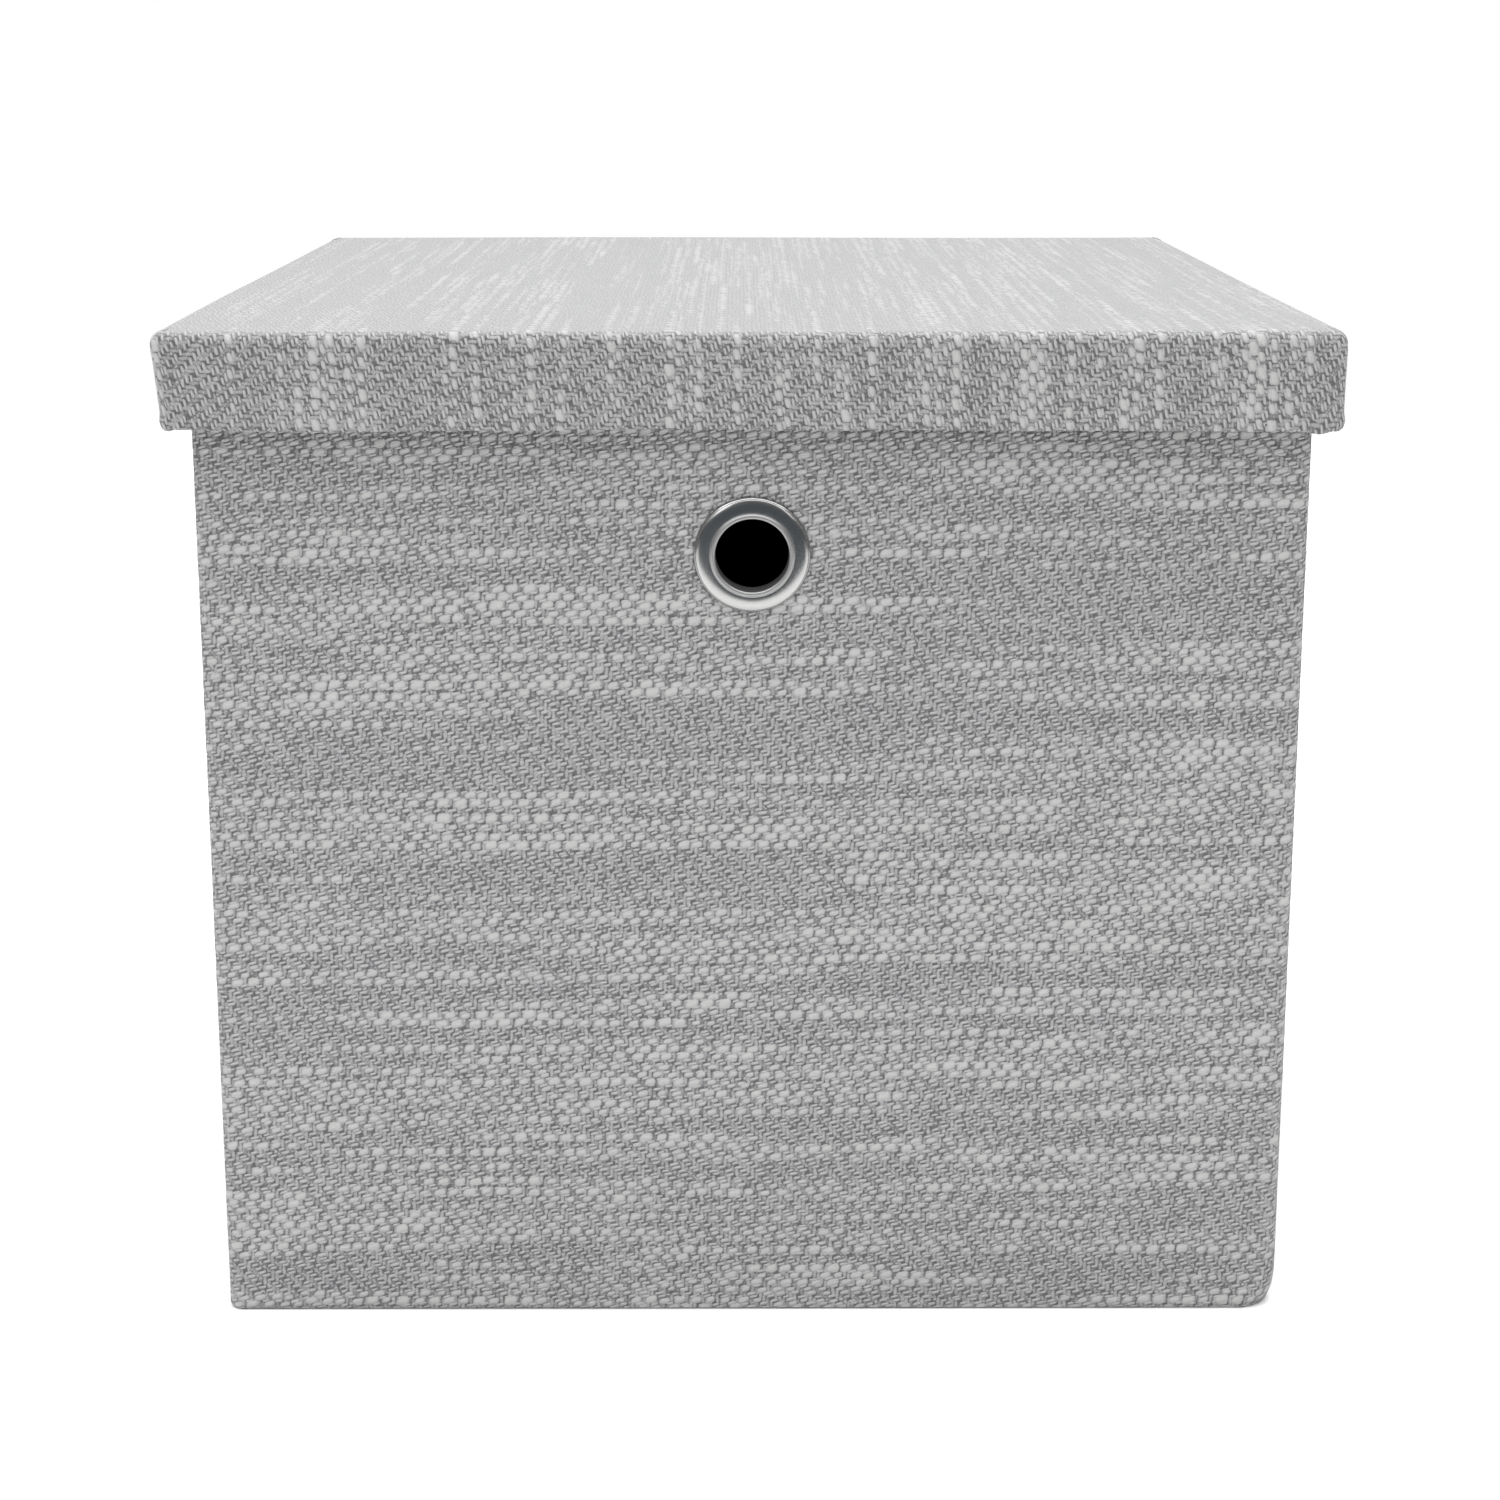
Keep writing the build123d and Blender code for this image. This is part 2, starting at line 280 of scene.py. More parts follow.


# %% [markdown]
# ## Slub twill material
# Cotton yarn is matt, soft and slightly hairy: high roughness and a little sheen. Each pick shows
# as a row of oval floats that lean up to the right, a plain one thin and grey, a slub fat and pale.
# Where a plain pick dips under, a short dash of it still shows. The warp shows between the floats as
# short upright strokes. The material paints shade into the gaps between yarns and under each float,
# and a painted highlight on the crests of the floats. Each float gets random numbers of its own for
# its size and place, because hand-like unevenness hides the repeat. The material draws the floats of
# three picks and keeps the highest, as the eye does. Light from above reaches into the gaps of cloth that
# faces up, so there the material paints the gaps paler.

# %% Slub twill
FLOAT_HALF = (1.28, 1.95)  # mm, half a float's length, plain and slub
YARN_HALF = (0.52, 1.5)  # mm, half a float's thickness, plain and slub
FLOAT_HEIGHT = (0.72, 1.0)
SHORT_HALF = (0.85, 0.46)  # mm, half the size of the short dash where a pick dips under two ends
SHORT_HEIGHT = (0.35, 0.72)
DOME_POWER = 0.6  # lower is a flatter float with steeper sides
JITTER = 0.55  # mm that a float lies off its place
TUCK_AND_PAINTED_SHADE = 0.32  # the upper side of a float stands proud and its lower side is tucked under; through the colour steps this also paints shade on the lower side and light on the upper side
FLOAT_LEAN = 0.22
WARP_HEIGHT = (0.1, 0.5)
WARP_HALF = (0.6, 1.6)  # mm, half a warp float's width and length
WEAVE_DEPTH = 0.62 * MM
HAIRS = 0.5  # how much the fibres break up the yarns
WOBBLE = 0.34  # mm that the yarns wander
OPEN_GAPS = 0.62  # how far light from above fills the gaps of cloth that faces up
GAP_LEVEL = 0.45

slub_twill, tree = new_material("slub_twill_cotton")
cloth_uv = add_node(tree, "ShaderNodeUVMap", uv_map="cloth_mm")
split = add_node(tree, "ShaderNodeSeparateXYZ", cloth_uv).node
wander = add_node(
    tree, "ShaderNodeTexNoise", sockets={"Vector": cloth_uv, "Scale": 0.16}, noise_dimensions="2D"
)
wander = add_node(tree, "ShaderNodeSeparateColor", wander.node.outputs["Color"]).node
along_mm = add_node(tree, MATH, wander.outputs[0], 3 * WOBBLE, split.outputs[0], operation="MULTIPLY_ADD")
across_mm = split.outputs[1]
sideways = add_node(tree, MATH, wander.outputs[1], 2 * WOBBLE, -WOBBLE, operation="MULTIPLY_ADD")
slub_colour = add_node(tree, "ShaderNodeVertexColor", layer_name="slub")
slub_split = add_node(tree, "ShaderNodeSeparateColor", slub_colour).node
picks_up = add_node(tree, MATH, across_mm, PICK_PITCH, operation="DIVIDE")
pick_number = add_node(tree, MATH, picks_up, operation="FLOOR")
within_pick = add_node(tree, MATH, picks_up, pick_number, operation="SUBTRACT")


def between(tree, value, low_high):
    """Runs from the low to the high number as a value goes from 0 to 1."""
    return add_node(tree, "ShaderNodeMapRange", value, sockets={"To Min": low_high[0], "To Max": low_high[1]})


def chances(tree, column, row):
    """Three random numbers of its own for each float."""
    cell = add_node(tree, "ShaderNodeCombineXYZ", column, row)
    noise = add_node(tree, "ShaderNodeTexWhiteNoise", sockets={"Vector": cell}, noise_dimensions="2D").node
    return add_node(tree, "ShaderNodeSeparateColor", noise.outputs["Color"]).node.outputs


def dome_of(tree, x, side):
    """A long rounded hump, 1 at its middle and 0 outside, from places counted in half sizes."""
    x = add_node(tree, MATH, x, x, operation="MULTIPLY")
    x = add_node(tree, MATH, x, x, operation="MULTIPLY")
    y = add_node(tree, MATH, side, side, x, operation="MULTIPLY_ADD")
    rest = add_node(tree, MATH, 1.0, y, operation="SUBTRACT")
    rest = add_node(tree, MATH, rest, 0.0, operation="MAXIMUM")
    return add_node(tree, MATH, rest, DOME_POWER, operation="POWER")


def float_of(tree, step):
    """Height of the floats of one pick: step is -1 below, 0 this pick, 1 above."""
    number = add_node(tree, MATH, pick_number, float(step), operation="ADD")
    phase = add_node(tree, MATH, number, 0.25, operation="MULTIPLY")
    phase = add_node(tree, MATH, along_mm, 1 / REPEAT, phase, operation="MULTIPLY_ADD")
    which = add_node(tree, MATH, phase, operation="FLOOR")
    offset = add_node(tree, MATH, phase, which, operation="SUBTRACT")
    offset = add_node(tree, MATH, offset, REPEAT, -REPEAT / 2, operation="MULTIPLY_ADD")
    chance, ahead, aside = chances(tree, which, number)
    size = between(tree, chance, (0.84, 1.12))
    swell = add_node(tree, MATH, slub_split.outputs[step + 1], size, operation="MULTIPLY")
    offset = add_node(tree, MATH, offset, between(tree, ahead, (-JITTER, JITTER)), operation="ADD")
    pick_middle = PICK_PITCH * (0.5 + step)
    height = add_node(tree, MATH, within_pick, PICK_PITCH, -pick_middle, operation="MULTIPLY_ADD")
    height = add_node(tree, MATH, height, sideways, operation="ADD")
    height = add_node(tree, MATH, height, between(tree, aside, (-JITTER / 2, JITTER / 2)), operation="ADD")
    height = add_node(tree, MATH, offset, -FLOAT_LEAN, height, operation="MULTIPLY_ADD")
    half_long = add_node(tree, MATH, between(tree, swell, FLOAT_HALF), size, operation="MULTIPLY")
    half_thick = add_node(tree, MATH, between(tree, swell, YARN_HALF), size, operation="MULTIPLY")
    x = add_node(tree, MATH, offset, half_long, operation="DIVIDE")
    side = add_node(tree, MATH, height, half_thick, operation="DIVIDE")
    dome = dome_of(tree, x, side)
    dome = add_node(tree, MATH, dome, between(tree, swell, FLOAT_HEIGHT), operation="MULTIPLY")
    # Painted shade and light: the float's lower side is drawn lower and so darker in colour, its upper side
    # higher and paler; the same tilt also shapes the bump.
    tuck_and_shade = add_node(tree, MATH, side, TUCK_AND_PAINTED_SHADE, 1.0, operation="MULTIPLY_ADD")
    dome = add_node(tree, MATH, dome, tuck_and_shade, operation="MULTIPLY")
    if step != 0:
        return dome
    x = add_node(tree, MATH, offset, operation="ABSOLUTE")
    x = add_node(tree, MATH, x, REPEAT / 2, operation="SUBTRACT")
    x = add_node(tree, MATH, x, SHORT_HALF[0], operation="DIVIDE")
    side = add_node(tree, MATH, height, SHORT_HALF[1], operation="DIVIDE")
    # The same painted shade on the short dash: darker below, paler above.
    tuck_and_shade = add_node(tree, MATH, side, TUCK_AND_PAINTED_SHADE, 1.0, operation="MULTIPLY_ADD")
    short = add_node(tree, MATH, dome_of(tree, x, side), tuck_and_shade, operation="MULTIPLY")
    short = add_node(tree, MATH, short, between(tree, aside, SHORT_HEIGHT), operation="MULTIPLY")
    thin = add_node(tree, MATH, 1.0, swell, operation="SUBTRACT", use_clamp=True)
    short = add_node(tree, MATH, short, thin, operation="MULTIPLY")
    return add_node(tree, MATH, dome, short, operation="MAXIMUM")


weft = add_node(tree, MATH, float_of(tree, -1), float_of(tree, 0), operation="MAXIMUM")
weft = add_node(tree, MATH, weft, float_of(tree, 1), operation="MAXIMUM")
ends = add_node(tree, MATH, along_mm, 1 / END_PITCH, operation="MULTIPLY")
end_number = add_node(tree, MATH, ends, operation="FLOOR")
from_end = add_node(tree, MATH, ends, end_number, operation="SUBTRACT")
from_end = add_node(tree, MATH, from_end, 0.5, operation="SUBTRACT")
from_end = add_node(tree, MATH, from_end, END_PITCH / WARP_HALF[0], operation="MULTIPLY")
rising = add_node(tree, MATH, end_number, picks_up, operation="ADD")
rising = add_node(tree, MATH, rising, 0.25, 0.5, operation="MULTIPLY_ADD")
warp_number = add_node(tree, MATH, rising, operation="FLOOR")
up_end = add_node(tree, MATH, rising, warp_number, operation="SUBTRACT")
up_end = add_node(tree, MATH, up_end, 0.5, operation="SUBTRACT")
up_end = add_node(tree, MATH, up_end, 4 * PICK_PITCH / WARP_HALF[1], operation="MULTIPLY")
up_end = add_node(tree, MATH, up_end, up_end, operation="MULTIPLY")
up_end = add_node(tree, MATH, up_end, up_end, operation="MULTIPLY")
warp = add_node(tree, MATH, from_end, from_end, up_end, operation="MULTIPLY_ADD")
warp = add_node(tree, MATH, 1.0, warp, operation="SUBTRACT")
warp = add_node(tree, MATH, warp, 0.0, operation="MAXIMUM")
warp = add_node(tree, MATH, warp, operation="SQRT")
warp_chance = chances(tree, end_number, warp_number)[0]
warp = add_node(tree, MATH, warp, between(tree, warp_chance, WARP_HEIGHT), operation="MULTIPLY")
surface = add_node(tree, MATH, weft, warp, operation="MAXIMUM")
along_fibres = add_node(tree, "ShaderNodeMapping", cloth_uv, sockets={"Scale": (0.9, 2.6, 1.0)})
hairs = add_node(
    tree,
    "ShaderNodeTexNoise",
    sockets={"Vector": along_fibres, "Scale": 1.0, "Detail": 4.0},
    noise_dimensions="2D",
)
surface_soft = add_node(tree, MATH, hairs, HAIRS, surface, operation="MULTIPLY_ADD")
surface_soft = add_node(tree, MATH, surface_soft, HAIRS / 2, operation="SUBTRACT")
# Colour by height: the low gaps between yarns get painted shade and the crests of the floats a painted
# highlight; the taller slub floats come out paler partly as their own colour and partly as painted highlight.
cloth_stops_with_painted_shade = [(0.0, "#5a5a5b"), (0.28, "#8d8d8e"), (0.62, "#a9a9a9"), (1.0, "#b4b4b3")]
facing_up = add_node(tree, "ShaderNodeTexCoord").node.outputs["Normal"]
facing_up = add_node(tree, "ShaderNodeSeparateXYZ", facing_up).node.outputs["Z"]
open_gaps = add_node(tree, "ShaderNodeMapRange", facing_up, sockets={"From Min": 0.5, "To Max": OPEN_GAPS})
filled = add_node(tree, MATH, GAP_LEVEL, surface_soft, operation="SUBTRACT")
filled = add_node(tree, MATH, filled, open_gaps, surface_soft, operation="MULTIPLY_ADD")
# The colour steps paint shade into the low gaps and a highlight on the crests.
cloth_colour_and_painted_shade = colour_steps(tree, filled, cloth_stops_with_painted_shade)
weave_bump = add_node(
    tree,
    "ShaderNodeBump",
    sockets={"Strength": 1.0, "Distance": WEAVE_DEPTH, "Height": surface_soft},
)
cloth_shader = add_node(
    tree,
    "ShaderNodeBsdfPrincipled",
    sockets={
        "Base Color": cloth_colour_and_painted_shade,
        "Roughness": 0.92,
        "Sheen Weight": 0.2,
        "Sheen Roughness": 0.5,
        "Specular IOR Level": 0.2,
        "Normal": weave_bump,
    },
)
add_node(tree, "ShaderNodeOutputMaterial", cloth_shader)
print("slub twill:", len(tree.nodes), "nodes")

# %% [markdown]
# ## Lines with rounded corners
# Cloth over board never makes a sharp edge. Every outline here is a line through corner points with
# a radius at each corner. It could be a Blender curve, but a plain table of lengths along the line
# lets each grid ask for exactly the places where its yarns lie.


# %% Rounded line
class RoundedLine:
    """A line through points with rounded corners, asked for places by length along it."""

    def __init__(self, points, radii):
        points = [np.array(p, float) for p in points]
        made = [points[0]]
        for before, corner, after, radius in zip(points, points[1:], points[2:], radii):
            back = (before - corner) / np.linalg.norm(before - corner)
            ahead = (after - corner) / np.linalg.norm(after - corner)
            half = math.acos(np.clip(back @ ahead, -1, 1)) / 2
            reach = radius / math.tan(half)
            centre = corner + (back + ahead) / np.linalg.norm(back + ahead) * radius / math.sin(half)
            first, last = corner + back * reach, corner + ahead * reach
            turn = math.pi - 2 * half
            side = np.sign((-back)[0] * ahead[1] - (-back)[1] * ahead[0])
            for t in np.linspace(0, turn, 13):
                c, s = math.cos(t * side), math.sin(t * side)
                arm = first - centre
                made.append(centre + np.array([c * arm[0] - s * arm[1], s * arm[0] + c * arm[1]]))
            made[-1] = last
        made.append(points[-1])
        made = np.array(made)
        gaps = np.linalg.norm(np.diff(made, axis=0), axis=1)
        self.places = made[np.append(True, gaps > 1e-9)]
        steps = np.diff(self.places, axis=0)
        gaps = np.linalg.norm(steps, axis=1)
        self.lengths = np.append(0, np.cumsum(gaps))
        self.length = self.lengths[-1]
        unit = steps / gaps[:, None]
        self.tangents = np.vstack([unit[:1], unit[1:] + unit[:-1], unit[-1:]])

    def at(self, lengths):
        """Points and unit tangents at lengths along the line."""
        points = np.stack([np.interp(lengths, self.lengths, c) for c in self.places.T], -1)
        tangents = np.stack([np.interp(lengths, self.lengths, c) for c in self.tangents.T], -1)
        return points, tangents / np.linalg.norm(tangents, axis=-1, keepdims=True)


# %% [markdown]
# ## Wall cloth
# One long piece of cloth runs round the bin, over the top edge and a little way down the inside,
# and under the lower edge. Here it is split where the bin folds: the two end walls, four half side
# walls, and a narrow strip round each corner. All take their places from one line
# round the bin and one section up the wall, so their edges meet exactly.

# %% Wall sizes
wall_low, wall_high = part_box("front_fabric")
HALF_WIDTH = wall_high.x / MM
HALF_DEPTH = -wall_low.y / MM
WALL_TOP = wall_high.z / MM
WALL_THICK = HALF_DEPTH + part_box("front_lining")[1].y / MM
CORNER = 4.5  # mm, rounding of the upright corners
END_STRIP = 7.0  # mm of corner strip on an end wall
SIDE_STRIP = 5.0  # and on a side wall
TURN_IN = 9.0  # mm of cloth down the inside of the top edge
TURN_UNDER = 3.0

half_round = RoundedLine(
    [(0, -HALF_DEPTH), (HALF_WIDTH, -HALF_DEPTH), (HALF_WIDTH, HALF_DEPTH), (-HALF_WIDTH, HALF_DEPTH)],
    [CORNER, CORNER],
)
hem_inset = WALL_THICK + 0.35
wall_section = RoundedLine(
    [
        (TURN_UNDER, 0.15),
        (0.0, 0.15),
        (0.0, WALL_TOP),
        (hem_inset, WALL_TOP),
        (hem_inset, WALL_TOP - TURN_IN),
    ],
    [1.3, 1.2, 0.9],
)
arc = CORNER * math.pi / 2
front_end = HALF_WIDTH - END_STRIP
side_start = HALF_WIDTH - CORNER + arc + SIDE_STRIP - CORNER
crease = side_start + HALF_DEPTH - SIDE_STRIP
side_end = 2 * crease - side_start
back_start = 2 * crease - front_end
print("wall", WALL_THICK, "mm; once round", round(4 * crease), "mm")
print("section", round(wall_section.length, 1), "mm")

# %% [markdown]
# Stiff board is never quite flat once glued cloth has dried on it. A few slow waves, a third of a
# millimetre deep, are enough to break up the light. Their lengths are uneven, so they
# never line up. At the lower right corner of the front the board is crushed, and the cloth has
# pulled in to a soft round corner that fades out upwards.

# %% Settle the wall cloth
EYELET_HEIGHT = (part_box("eyelet_face")[0].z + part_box("eyelet_face")[1].z) / 2 / MM
SOFT_RADIUS = 10.0  # mm more radius at the floor
SOFT_HEIGHT = 14.0
WAVE = 0.32  # mm
FLOOR_FADE, TOP_FADE, CREASE_FADE = 30, 25, 6  # mm over which the waves die away
CORNER_CALM, CORNER_FADE = 6, 25  # mm from a corner with no wave, and mm over which it grows
EYELET_CALM, EYELET_FADE = 16, 30  # the same round the eyelet's axis
RIM_PRESS = 0.25  # mm that the eyelet's rim presses the cloth in
PRESS_REACH, PRESS_FADE = 25, 8  # mm from the eyelet's axis, and mm over which the dent deepens


def pull_corner(points):
    """Draws the lower right corner of the front in to its soft radius."""
    z = points[..., 2]
    radius = CORNER + SOFT_RADIUS * np.clip(1 - z / SOFT_HEIGHT, 0, 1) ** 2
    centre = np.stack([HALF_WIDTH - radius, radius - HALF_DEPTH], -1)
    arm = points[..., :2] - centre
    reach = np.linalg.norm(arm, axis=-1)
    beyond = (arm[..., 0] > 0) & (arm[..., 1] < 0) & (reach > radius)
    pulled = centre + arm * (radius / np.maximum(reach, 1e-6))[..., None]
    points[..., :2] = np.where(beyond[..., None], pulled, points[..., :2])
    return points


def settle_wall(points, normals):
    """Gives the cloth its slow waves, its soft corner, and the dent around the eyelet."""
    x, y, z = points[..., 0], points[..., 1], points[..., 2]
    slow = np.sin(x / 31 + z / 47 + 0.6) + 0.7 * np.sin(y / 27 - z / 38) + 0.6 * np.sin(x / 17 - z / 71 + 2)
    fade = np.clip(z / FLOOR_FADE, 0, 1) * np.clip((WALL_TOP - z) / TOP_FADE, 0, 1)
    fade = fade * np.clip(np.abs(y) / CREASE_FADE, 0, 1)
    from_corner = np.hypot(np.abs(x) - HALF_WIDTH, np.abs(y) - HALF_DEPTH)
    from_eyelet = np.where(y < 0, np.hypot(x, z - EYELET_HEIGHT), 1e3)
    by_corner = np.clip((from_corner - CORNER_CALM) / CORNER_FADE, 0, 1)
    by_eyelet = np.clip((from_eyelet - EYELET_CALM) / EYELET_FADE, 0, 1)
    fade = fade * by_corner * by_eyelet
    press = RIM_PRESS * np.clip((PRESS_REACH - from_eyelet) / PRESS_FADE, 0, 1) ** 2
    return pull_corner(points + normals * (WAVE * slow * fade - press)[..., None])


def wall_place(along, across):
    """Points and normals of wall cloth: along is round the bin from the front's middle, across is up."""
    plan, tangent = half_round.at(np.abs(along))
    side = np.where(along < 0, -1.0, 1.0)[:, None]
    plan = plan * np.hstack([side, np.ones_like(side)])
    outward = np.stack([tangent[:, 1] * side[:, 0], -tangent[:, 0]], -1)
    section, rise = wall_section.at(across)
    points = np.zeros((len(across), len(along), 3))
    points[..., :2] = plan[None] - outward[None] * section[:, :1][:, None]
    points[..., 2] = section[:, 1][:, None]
    normals = np.zeros_like(points)
    normals[..., :2] = outward[None] * rise[:, 1][:, None, None]
    normals[..., 2] = rise[:, 0][:, None]
    return settle_wall(points, normals), normals


FINE, COARSE = 1.2, 2.4  # mm between columns, on the front and elsewhere
wall_picks = picks_between(0.0, wall_section.length)
wall_slubs = slub_yarn(-3, len(wall_picks) + 6, -back_start, 2 * crease * 2 + 20, seed=11, share=0.9)


def columns(start, end, step):
    """Even steps between two lengths along the cloth."""
    return np.linspace(start, end, max(2, round(abs(end - start) / step) + 1))


def in_eyelet(points):
    """Where the eyelet's barrel goes through the front."""
    off = np.hypot(points[..., 0], points[..., 2] - EYELET_HEIGHT)
    return (points[..., 1] < 0) & (off < 13.0)


front_cloth = woven_piece(
    "front_cloth", [(columns(-front_end, front_end, FINE), wall_picks, wall_place)], wall_slubs, in_eyelet
)
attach(front_cloth, "front_wall")
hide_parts("front_fabric")
back_cloth = woven_piece(
    "back_cloth", [(columns(back_start, 4 * crease - back_start, COARSE), wall_picks, wall_place)], wall_slubs
)
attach(back_cloth, "back_wall")
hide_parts("back_fabric")

# %% [markdown]
# ## Side wall cloth
# A side wall folds inwards along an upright crease at its middle. Each half has its own cloth, which
# also closes the end of its board at the crease. As the bin folds, the lower edges of the moving
# walls ride up just over the loose board.

# %% Side walls
CREASE_END = 1.0  # mm from the crease to the end of a board
WRAP = 0.35  # mm in from the outer face, where the wrap round the board's end begins


def end_wrap(side, end):
    """The patch that closes a half wall's end at the crease."""

    def place(along, across):
        inset = along if side * end < 0 else WRAP + hem_inset - along
        points = np.zeros((len(across), len(along), 3))
        points[..., 0] = side * (HALF_WIDTH - inset)[None]
        points[..., 1] = end * CREASE_END
        points[..., 2] = across[:, None]
        normals = np.zeros_like(points)
        normals[..., 1] = -end
        return points, normals

    return columns(WRAP, hem_inset, 1.0), picks_between(0.5, WALL_TOP - 0.3), place


for side, side_name in ((-1, "left"), (1, "right")):
    for end, end_name in ((-1, "front"), (1, "back")):
        half = f"{side_name}_{end_name}"
        reach = (side_start, crease) if end < 0 else (crease, side_end)
        along = columns(*sorted(side * u for u in reach), COARSE)
        patches = [(along, wall_picks, wall_place), end_wrap(side, end)]
        piece = woven_piece(f"{half}_cloth", patches, wall_slubs)
        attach(piece, half)
        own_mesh(piece)
        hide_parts(f"{half}_fabric")
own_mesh(back_cloth)

# %% [markdown]
# The strip of cloth round an upright corner is the hinge itself. Here each strip is built in place
# and is not attached to either wall.

# %% Corner strips
BEND = 0.65  # mm between columns round a corner
for side, side_name in ((-1, "left"), (1, "right")):
    for end, end_name, wall_body in ((-1, "front", "front_wall"), (1, "back", "back_wall")):
        half = f"{side_name}_{end_name}"
        reach = (front_end, side_start) if end < 0 else (side_end, back_start)
        along = columns(*sorted(side * u for u in reach), BEND)
        strip = woven_piece(f"{half}_corner", [(along, wall_picks, wall_place)], wall_slubs)
        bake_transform(strip)

# %% [markdown]
# ## Bottom cloth
# The bottom is the same cloth, closed onto the walls' lower edges. Here it is one flat piece
# that moves with the front wall.

# %% Bottom
BOTTOM_INSET = 1.6  # mm in from the walls' faces
BOTTOM_LEVEL = 0.6  # mm above the floor
CORNER_REACH = 8  # mm in from a side wall where the bottom's corner is cut back
END_REACH = 3  # and in from an end wall


def bottom_place(along, across):
    """Points and normals of the bottom cloth, which faces the floor."""
    points = np.zeros((len(across), len(along), 3))
    points[..., 0] = -along[None]
    points[..., 1] = across[:, None]
    points[..., 2] = BOTTOM_LEVEL
    normals = np.zeros_like(points)
    normals[..., 2] = -1
    near_side = np.abs(points[..., 0]) > HALF_WIDTH - CORNER_REACH
    near_end = (np.abs(across) > HALF_DEPTH - END_REACH)[:, None]
    inset = np.where(near_side, CORNER / 4, 0) * near_end
    points[..., 0] -= np.sign(points[..., 0]) * inset
    return pull_corner(points), normals


bottom_half = HALF_WIDTH - BOTTOM_INSET
bottom_grid = (
    columns(-bottom_half, bottom_half, 8.0),
    picks_between(BOTTOM_INSET - HALF_DEPTH, HALF_DEPTH - BOTTOM_INSET),
    bottom_place,
)
bottom_slubs = slub_yarn(-140, 280, -HALF_WIDTH, 2 * HALF_WIDTH, seed=23, share=0.9)
base_cloth = woven_piece("base_cloth", [bottom_grid], bottom_slubs)
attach(base_cloth, "front_wall")
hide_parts("base_fabric")
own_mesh(base_cloth)

# %% [markdown]
# ## Lid cloth
# The lid's cloth was cut as a cross: a square for the top and a flap for each side. The weft runs
# front to back here, so its slubs show as faint streaks on the top and as upright columns on the
# front flange. The front and back flaps are folded round the corners and lie over the side flaps.
# The flange leans in a little towards its lower edge, and the hem there is soft and thick.

# %% Lid sizes
LID_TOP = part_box("lid_fabric")[1].z / MM
TOP_LEVEL = LID_TOP + 0.05  # the cloth's own face
HEM_LEVEL = 280.75  # mm above the floor
HEM_TOP = 288.0  # how far up the inside the hem is turned
HEM_INSIDE = -0.3  # mm out from the flat top's edge, for the hem, the foot and the top of the flange
FLANGE_FOOT_OUT, FLANGE_TOP_OUT = 2.55, 4.35
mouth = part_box("lid_lining")
MOUTH_X = mouth[1].x / MM - 0.5
MOUTH_Y = mouth[1].y / MM - 0.5
flange_section = RoundedLine(
    [
        (HEM_INSIDE, HEM_TOP),
        (HEM_INSIDE, HEM_LEVEL),
        (FLANGE_FOOT_OUT, HEM_LEVEL),
        (FLANGE_TOP_OUT, TOP_LEVEL),
        (0.0, TOP_LEVEL),
    ],
    [0.9, 1.3, 3.6],
)
flap = flange_section.length
LID_ARC = 4.0 * math.pi / 2
OVERLAP = 6.0  # mm that a folded flap lies over the side
FOLD_STEP = 0.38
HEM_ROLL = 0.45
LEAN_LEFT, LEAN_RIGHT = 0.8, 1.2  # mm that the top's edges stand to the left
ROLL_LEVEL, ROLL_HALF = 283.3, 1.9  # mm, height and half size of the hem's roll
BULGE_AT = (165, -170, 281)  # mm, where the folded lower right corner sags
BULGE_SIZE = (3.2, 3.0, 2.6)
BULGE_DROP, BULGE_OUT = 1.2, 0.5  # mm
FLANK_WAVE, TOP_WAVE = 0.16, 0.12  # mm
print("lid mouth", 2 * MOUTH_X, "x", 2 * MOUTH_Y, "mm; flap", round(flap, 1), "mm")


def flap_at(distance):
    """Outset, height and normal of a flap, at a distance past the edge of the flat top."""
    place, rise = flange_section.at(flap - distance)
    return place[..., 0], place[..., 1], rise[..., 1], -rise[..., 0]


def settle_lid(points, normals):
    """Gives the lid its slow waves, its soft hem, and the bulge where the right corner is folded."""
    x, y, z = points[..., 0], points[..., 1], points[..., 2]
    flank = np.clip((LID_TOP - 4 - z) / 6, 0, 1)
    slow = np.sin(x / 23 + 1.0) + 0.8 * np.sin(x / 11 + y / 14) + 0.8 * np.sin(y / 19 + 0.4)
    swell = np.sin(x / 41 + y / 63) + 0.7 * np.sin(y / 37 - x / 90 + 2.0)
    roll = HEM_ROLL * np.exp(-(((z - ROLL_LEVEL) / ROLL_HALF) ** 2)) * (normals[..., 2] > -0.7)
    points = points + normals * (FLANK_WAVE * slow * flank + TOP_WAVE * swell + roll)[..., None]
    points[..., 2] += flank * (0.25 * np.sin(x / 33 + 2.0) + 0.2 * np.sin(y / 29))
    away = [(value - at) / size for value, at, size in zip((x, y, z), BULGE_AT, BULGE_SIZE)]
    bulge = np.exp(-(away[0] ** 2) - away[1] ** 2 - away[2] ** 2)
    leaning = np.clip((z - 281) / 25, 0, 1) * np.clip((np.abs(x) - 150) / 20, 0, 1)
    points[..., 0] -= leaning * np.where(x < 0, LEAN_LEFT, LEAN_RIGHT)
    points[..., 2] -= BULGE_DROP * bulge
    points[..., 1] -= BULGE_OUT * bulge
    return points


